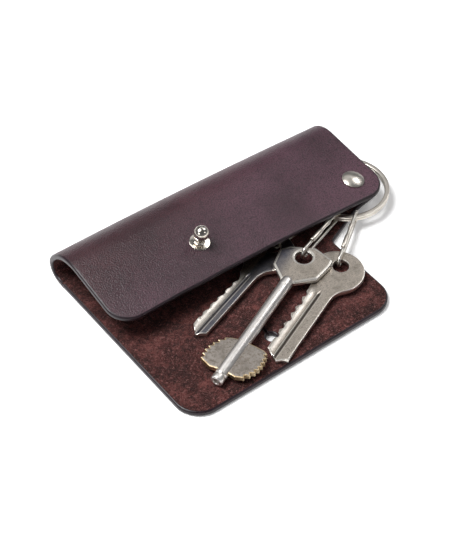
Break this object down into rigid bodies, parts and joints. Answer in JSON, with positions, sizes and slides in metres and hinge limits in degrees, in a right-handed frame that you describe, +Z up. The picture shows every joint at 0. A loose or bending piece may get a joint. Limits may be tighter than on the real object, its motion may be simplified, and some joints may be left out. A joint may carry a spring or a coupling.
{
  "type": "leather key organiser",
  "caption": "Folded leather key case, shown open: stud-and-slit closing flap, split ring held by a rivet, spring clips and keys that tuck inside.",
  "frame": {"origin": "on the flat underside of the back panel, 64 mm from the case's left end and 9 mm behind the flap's crease line", "axes": "+X along the case towards the split ring, +Y towards the folded spine, +Z up out of the back panel"},
  "size_m": [0.1317, 0.0895, 0.0242],
  "materials": {
    "leather": "smooth dark burgundy brown grain outside, reddish suede inside",
    "nickel": "bright nickel plate",
    "spring_steel": "polished nickel-plated steel wire",
    "key_nickel": "worn nickel plate",
    "key_brass": "worn nickel over brass, brass showing on the edges"
  },
  "bodies": {
    "case": {"back_panel": "leather", "cover_sleeve": "leather", "rivet_post": "nickel", "rivet_cap": "nickel"},
    "flap": {"closing_flap": "leather"},
    "cover": {"cover_front": "leather", "stud_head": "nickel", "stud_screw": "nickel"},
    "ring": {"split_ring": "nickel"},
    "clip_left": {"clip_left_frame": "spring_steel", "clip_left_pin": "spring_steel"},
    "gate_left": {"clip_left_gate": "nickel"},
    "clip_centre": {"clip_centre_frame": "spring_steel", "clip_centre_pin": "spring_steel"},
    "gate_centre": {"clip_centre_gate": "nickel"},
    "clip_right": {"clip_right_frame": "spring_steel", "clip_right_pin": "spring_steel"},
    "gate_right": {"clip_right_gate": "nickel"},
    "key_left": {"cylinder_key_left": "key_nickel"},
    "key_centre": {"lever_key_bow": "key_nickel", "lever_key_shank": "nickel", "lever_key_bit": "key_brass"},
    "key_right": {"cylinder_key_right": "key_nickel"}
  },
  "joints": [
    {"name": "flap_close", "type": "hinge", "parent": "case", "child": "flap", "pos_m": [0, -0.00885, 0.00722], "axis": [-1, 0, 0], "range_deg": [0, 168], "deforming": ["closing_flap"]},
    {"name": "ring_gather", "type": "hinge", "parent": "case", "child": "ring", "pos_m": [0.0517, 0.0072, 0.0051], "axis": [0, 0, 1], "range_deg": [-30.5, 0.5]},
    {"name": "cover_lift", "type": "hinge", "parent": "case", "child": "cover", "pos_m": [0.042, -0.003, 0.0096], "axis": [0.9498, -0.3046, -0.0717], "range_deg": [-20, 0], "stiffness_Nm_per_rad": 0.004},
    {"name": "clip_left_slide", "type": "hinge", "parent": "ring", "child": "clip_left", "pos_m": [0.0502, 0.01, 0.0051], "axis": [0, 0, 1], "range_deg": [-15, 0]},
    {"name": "clip_centre_slide", "type": "hinge", "parent": "ring", "child": "clip_centre", "pos_m": [0.0502, 0.01, 0.0051], "axis": [0, 0, 1], "range_deg": [-3, 0]},
    {"name": "clip_right_slide", "type": "hinge", "parent": "ring", "child": "clip_right", "pos_m": [0.0502, 0.01, 0.0051], "axis": [0, 0, -1], "range_deg": [-80, 0]},
    {"name": "key_left_swing", "type": "hinge", "parent": "clip_left", "child": "key_left", "pos_m": [0.00768, 0.00166, 0.0047], "axis": [-0.0248, -0.0083, 0.9997], "range_deg": [-20, 0]},
    {"name": "key_centre_swing", "type": "hinge", "parent": "clip_centre", "child": "key_centre", "pos_m": [0.01195, -0.01142, 0.0069], "axis": [-0.0313, -0.0135, 0.9994], "range_deg": [-3, 0]},
    {"name": "key_right_swing", "type": "hinge", "parent": "clip_right", "child": "key_right", "pos_m": [0.02136, -0.02166, 0.0047], "axis": [0.0241, 0.0101, -0.9997], "range_deg": [-50, 0]},
    {"name": "gate_left_open", "type": "hinge", "parent": "clip_left", "child": "gate_left", "pos_m": [0.02697, 0.00458, 0.0073], "axis": [0.1392, -0.9903, 0], "range_deg": [0, 12], "stiffness_Nm_per_rad": 0.0005},
    {"name": "gate_centre_open", "type": "hinge", "parent": "clip_centre", "child": "gate_centre", "pos_m": [0.03052, -0.00285, 0.0078], "axis": [0.36, -0.933, 0], "range_deg": [0, 12], "stiffness_Nm_per_rad": 0.0005},
    {"name": "gate_right_open", "type": "hinge", "parent": "clip_right", "child": "gate_right", "pos_m": [0.03701, -0.00915, 0.0073], "axis": [0.5764, -0.8171, 0], "range_deg": [0, 12], "stiffness_Nm_per_rad": 0.0005}
  ],
  "couplings": [
    {"joint": "ring_gather", "follows": "flap_close", "ratio": -0.17857}
  ]
}
